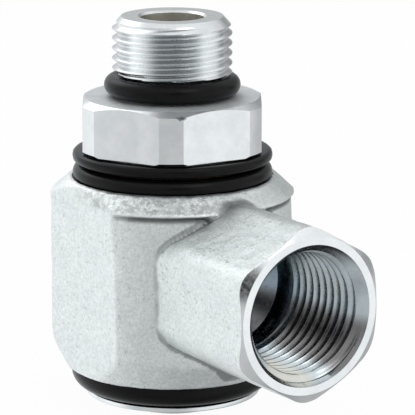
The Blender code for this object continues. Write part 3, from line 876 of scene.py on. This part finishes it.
def stem_below_thread():
    """Profile from the lower end of the stem to the start of the thread."""
    clip_base, clip_top = CLIP_GROOVE
    profile = [(0, 0), (TAIL_RADIUS - TAIL_CHAMFER, 0), (TAIL_RADIUS, TAIL_CHAMFER)]
    profile += [(TAIL_RADIUS, clip_base), (CLIP_GROOVE_RADIUS, clip_base),
                (CLIP_GROOVE_RADIUS, clip_top), (TAIL_RADIUS, clip_top)]
    profile += [(TAIL_RADIUS, JOURNAL_BASE), (JOURNAL_RADIUS - STEP_CHAMFER, JOURNAL_BASE),
                (JOURNAL_RADIUS, JOURNAL_BASE + STEP_CHAMFER)]
    for start, end in GROOVES:
        profile += [(JOURNAL_RADIUS, PORT_LEVEL + start), (GROOVE_RADIUS, PORT_LEVEL + start),
                    (GROOVE_RADIUS, PORT_LEVEL + end), (JOURNAL_RADIUS, PORT_LEVEL + end)]
    profile += [(JOURNAL_RADIUS, HEX_BASE), (HEX_CORNER_RADIUS - STEP_CHAMFER, HEX_BASE),
                (HEX_CORNER_RADIUS, HEX_BASE + STEP_CHAMFER)]
    profile += [(HEX_CORNER_RADIUS, HEX_TOP - HEX_CHAMFER_HEIGHT), (HEX_FACE_RADIUS, HEX_TOP)]
    profile += [(NECK_RADIUS + NECK_ROOT, HEX_TOP), (NECK_RADIUS, HEX_TOP + NECK_ROOT),
                (NECK_RADIUS, THREAD_START)]
    return profile


def stem_above_thread():
    """Profile over the free end and down the flow bore to its point."""
    return [(MALE_END_RADIUS, STEM_TOP), (FLOW_BORE_RADIUS + FLOW_BORE_LIP, STEM_TOP),
            (FLOW_BORE_RADIUS, STEM_TOP - FLOW_BORE_LIP), (FLOW_BORE_RADIUS, FLOW_BORE_END),
            (0, FLOW_BORE_TIP)]


def hexagon_tool(material):
    """Ring with a hexagonal hole, which cuts the flats."""
    low, high = TRIM_LEVELS
    corners = []
    for flats, level in ((HEX_ACROSS_FLATS, low), (TRIM_ACROSS, low),
                         (TRIM_ACROSS, high), (HEX_ACROSS_FLATS, high)):
        corner = flats / 2 / cos(pi / 6)
        corners += [(corner * cos(HEX_TURN + k * pi / 3), corner * sin(HEX_TURN + k * pi / 3), level)
                    for k in range(6)]
    faces = [(6 * i + k, 6 * i + (k + 1) % 6, 6 * j + (k + 1) % 6, 6 * j + k)
             for i, j in ((0, 1), (1, 2), (2, 3), (3, 0)) for k in range(6)]
    return new_object("trim", corners, faces, [material])


def cross_drill(material, turn):
    """Cutter for two opposite cross holes, at the level of the port."""
    profile = [(0, -CROSS_DRILL_REACH), (CROSS_HOLE_RADIUS, -CROSS_DRILL_REACH),
               (CROSS_HOLE_RADIUS, CROSS_DRILL_REACH), (0, CROSS_DRILL_REACH)]
    place = Matrix.Translation((0, 0, PORT_LEVEL)) @ Matrix.Rotation(turn, 4, 'Z')
    return turned("drill", profile, [material], 32, closed=False,
                  turn=place @ Matrix.Rotation(pi / 2, 4, 'Y'))


def sort_stem_faces(stem, thread, bore, seat):
    """Give the thread, the flow bore and the top of the hexagon their own materials."""
    first = len(stem.data.materials)
    for extra in (thread, bore, seat):
        stem.data.materials.append(extra)
    for face in stem.data.polygons:
        x, y, z = (c / MM for c in face.center)
        radius = hypot(x, y)
        if THREAD_START < z < STEM_TOP - MALE_END_LENGTH and radius > MALE_FACES_FROM:
            face.material_index = first
        elif z > FLOW_BORE_TIP and radius < FLOW_BORE_RADIUS + BORE_MARGIN:
            face.material_index = first + 1
        elif abs(z - HEX_TOP) < LEVEL_MARGIN:
            face.material_index = first + 2


def make_stem(material, thread, bore, seat):
    """Turned stem with its thread, hexagon and cross holes."""
    stem = threaded("stem", stem_below_thread(), stem_above_thread(), (MALE_MAJOR, MALE_MINOR),
                    MALE_PITCH, male_limits, [material])
    cut(stem, hexagon_tool(material))
    for k in range(2):
        cut(stem, cross_drill(material, HEX_TURN + k * pi / 2))
    stem.name = "stem_detailed"
    sort_stem_faces(stem, thread, bore, seat)
    return smooth(stem, 20)


# Rings and washers

def ring(name, centre, level, section, material, flat=0.0):
    """Rubber ring of round section, or one that is flat on the inside when flat is set."""
    if flat:
        profile = [(centre - flat, level - section / 2)]
        profile += arc((centre, level), section / 2, -pi / 2, pi / 2, RING_SECTION_STEPS)
        profile += [(centre - flat, level + section / 2)]
    else:
        profile = arc((centre, level), section / 2, 0, 2 * pi, RING_SECTION_STEPS)[:-1]
    return smooth(turned(name, profile, [material], RING_STEPS), RING_SMOOTHING)


def washer(name, radii, levels, edge, material):
    """Flat ring between two radii and two levels."""
    profile = rectangle(radii, levels, edge)
    return smooth(turned(name, profile, [material], RING_STEPS), RING_SMOOTHING)


def split_ring(name, material):
    """Flat ring with an opening on the side away from the port."""
    profile = rectangle(CLIP_RADII, CLIP_LEVELS, CLIP_EDGE)
    count = len(profile)
    steps = 96
    half = pi - CLIP_OPENING / 2
    vertices = []
    faces = [tuple(range(count)), tuple(steps * count + k for k in reversed(range(count)))]
    for i in range(steps + 1):
        a = -half + 2 * half * i / steps
        vertices += [(r * cos(a), r * sin(a), h) for r, h in profile]
    for i in range(steps):
        for k in range(count):
            m = (k + 1) % count
            faces.append((i * count + k, i * count + m, (i + 1) * count + m, (i + 1) * count + k))
    return smooth(new_object(name, vertices, faces, [material]), RING_SMOOTHING)


def place(item, body, node, slot):
    """Put a detailed piece on its body, in the place of a plain solid."""
    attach(item, body)
    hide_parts(node)


def place_housing():
    """Housing with its forged skin and the machined port."""
    faced = turned_zinc("turned_port", PORT_AXIS, 0.10, tones=FACED_LIT_TONES)
    bored = turned_zinc("threaded_port", PORT_AXIS, 0.05, rough=0.19, tones=BORED_SHADED_TONES,
                        tint=port_painted_light)
    place(make_housing(forged_zinc(), faced, bored), HOUSING_SIDE, "housing", "forged_zinc")


def place_stem(turned_stem):
    """Stem with its own finish on the thread, the flow bore and the top of the hexagon."""
    thread = turned_zinc("male_thread", SWIVEL_AXIS, 0.05, marks=0.002, rough=0.20,
                         tones=THREAD_SHADED_TONES, tint=thread_painted_light)
    seat = turned_zinc("hexagon_face", SWIVEL_AXIS, 0.07, rough=0.58)
    bore = turned_zinc("flow_bore", SWIVEL_AXIS, 0.05, rough=0.34, tones=FLOW_BORE_REFLECTION_TONES)
    place(make_stem(turned_stem, thread, bore, seat), STEM_SIDE, "stem", "turned_zinc")


def place_rubber(rubber):
    """Port ring, dust seals and dust washer."""
    level = HEX_TOP + SEAT_GAP + PORT_RING_SECTION / 2
    item = ring("port_ring_detailed", PORT_RING_CENTRE, level, PORT_RING_SECTION, rubber)
    place(item, STEM_SIDE, "port_ring", "seal_rubber")
    level = HOUSING_TOP + UPPER_SEAL_RISE
    item = ring("upper_dust_seal_detailed", UPPER_SEAL_CENTRE, level, UPPER_SEAL_SECTION, rubber)
    place(item, HOUSING_SIDE, "upper_dust_seal", "seal_rubber")
    radii = (DUST_WASHER_BORE, UPPER_SEAL_CENTRE + UPPER_SEAL_SECTION / 2)
    levels = (level + UPPER_SEAL_SECTION / 2 + SEAT_GAP, HEX_BASE - SEAT_GAP)
    item = washer("upper_dust_washer_detailed", radii, levels, DUST_WASHER_EDGE, rubber)
    place(item, STEM_SIDE, "upper_dust_washer", "seal_rubber")
    level = HOUSING_BASE - LOWER_SEAL_DROP
    item = ring("lower_dust_seal_detailed", LOWER_SEAL_CENTRE, level, LOWER_SEAL_SECTION, rubber,
                flat=LOWER_SEAL_LAND)
    place(item, HOUSING_SIDE, "lower_dust_seal", "seal_rubber")


def place_retainer(turned_stem, spring):
    """Washer and split ring that hold the housing from below."""
    item = washer("retaining_washer_detailed", RETAINER_RADII, RETAINER_LEVELS, RETAINER_EDGE,
                  turned_stem)
    place(item, STEM_SIDE, "retaining_washer", "turned_zinc")
    place(split_ring("retaining_ring_detailed", spring), STEM_SIDE, "retaining_ring", "spring_steel")


def finish_hidden_pieces(rubber):
    """The bearings and pressure seals keep their solids and only get a material."""
    bronze = plain("bronze", BRONZE_TONES, 1.0, 0.28)
    plastic = plain("backup_plastic", PLASTIC_TONES, 0.0, 0.42)
    finishes = {"bush": bronze, "thrust": bronze, "backup": plastic, "pressure": rubber}
    for name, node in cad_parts.items():
        for word, material in finishes.items():
            if word in name:
                node.data.materials.clear()
                node.data.materials.append(material)


def build_pieces():
    """All pieces with their materials."""
    turned_stem = turned_zinc("turned_stem", SWIVEL_AXIS, 0.07, tint=nick_tint)
    rubber = black_rubber()
    spring = plain("spring_steel", SPRING_TONES, 1.0, 0.30)
    place_housing()
    place_stem(turned_stem)
    place_rubber(rubber)
    place_retainer(turned_stem, spring)
    finish_hidden_pieces(rubber)


# Studio

def studio_direction(right, up):
    """Direction by degrees to the camera's right of the camera and degrees above the floor."""
    level = TO_CAMERA * cos(radians(right)) + TO_RIGHT * sin(radians(right))
    return level * cos(radians(up)) + Vector((0, 0, sin(radians(up))))


def make_world():
    """Nearly white all round, with soft lobes where the studio is darker or brighter."""
    world = bpy.data.worlds.new("studio")
    bpy.context.scene.world = world
    world.use_nodes = True
    n = Tree(world.node_tree)
    n.tree.nodes.clear()
    seen = n.add("ShaderNodeTexCoord").outputs["Generated"]
    strength = STUDIO_LEVEL
    for direction, start, end, amount in LOBES:
        towards = n.vector('DOT_PRODUCT', seen, studio_direction(*direction))
        strength = n.math('ADD', n.remap(towards, start, end, 0.0, amount), strength)
    light = n.add("ShaderNodeBackground")
    n.feed(light, "Color", STUDIO_COLOUR)
    n.feed(light, "Strength", strength)
    white = n.add("ShaderNodeBackground")
    n.feed(white, "Color", WHITE)
    n.feed(white, "Strength", 1.0)
    to_camera = n.add("ShaderNodeLightPath").outputs["Is Camera Ray"]
    out = n.add("ShaderNodeOutputWorld")
    n.link(n.mix_shaders(to_camera, light.outputs[0], white.outputs[0]), out.inputs[0])


def make_floor():
    """Pale floor that shows nearly pure white to the camera, apart from a faint contact shadow."""
    reach = FLOOR_REACH
    corners = [(-reach, -reach, FLOOR_LEVEL), (reach, -reach, FLOOR_LEVEL),
               (reach, reach, FLOOR_LEVEL), (-reach, reach, FLOOR_LEVEL)]
    floor = new_object("floor", corners, [(0, 1, 2, 3)])
    material = bpy.data.materials.new("floor_white")
    material.use_nodes = True
    n = Tree(material.node_tree)
    n.tree.nodes.clear()
    matt = n.add("ShaderNodeBsdfDiffuse")
    n.feed(matt, "Color", FLOOR_COLOUR)
    glow = n.add("ShaderNodeEmission")
    n.feed(glow, "Color", WHITE)
    n.feed(glow, "Strength", 1.0)
    to_camera = n.add("ShaderNodeLightPath").outputs["Is Camera Ray"]
    share = n.product(to_camera, FLOOR_GLOW)
    out = n.add("ShaderNodeOutputMaterial")
    n.link(n.mix_shaders(share, matt.outputs[0], glow.outputs[0]), out.inputs[0])
    floor.data.materials.append(material)
    floor.visible_glossy = False


def make_key_light():
    """One square softbox, above and to the right of the camera."""
    data = bpy.data.lights.new("key", 'AREA')
    data.shape = 'RECTANGLE'
    data.size = KEY_SIZE
    data.size_y = KEY_SIZE
    data.energy = KEY_POWER
    data.color = KEY_COLOUR
    lamp = bpy.data.objects.new("key", data)
    bpy.context.scene.collection.objects.link(lamp)
    back = studio_direction(*KEY_DIRECTION)
    lamp.location = KEY_TARGET + back * KEY_DISTANCE
    lamp.rotation_mode = 'QUATERNION'
    lamp.rotation_quaternion = back.to_track_quat('Z', 'Y')


def make_camera():
    """Long lens from the side of the port, a little above it."""
    data = bpy.data.cameras.new("camera")
    data.sensor_width = SENSOR_WIDTH
    data.lens = LENS_PIXELS / PICTURE_PIXELS * SENSOR_WIDTH
    data.clip_start = 0.05
    data.clip_end = 50
    camera = bpy.data.objects.new("camera", data)
    bpy.context.scene.collection.objects.link(camera)
    camera.location = (TO_CAMERA * CAMERA_DISTANCE + TO_RIGHT * CAMERA_SHIFT
                       + Vector((0, 0, CAMERA_HEIGHT)))
    camera.rotation_mode = 'QUATERNION'
    camera.rotation_quaternion = (-studio_direction(0, CAMERA_PITCH)).to_track_quat('-Z', 'Y')
    bpy.context.scene.camera = camera


build_pieces()
make_world()
make_floor()
make_key_light()
make_camera()
bpy.context.scene.view_settings.view_transform = 'Standard'
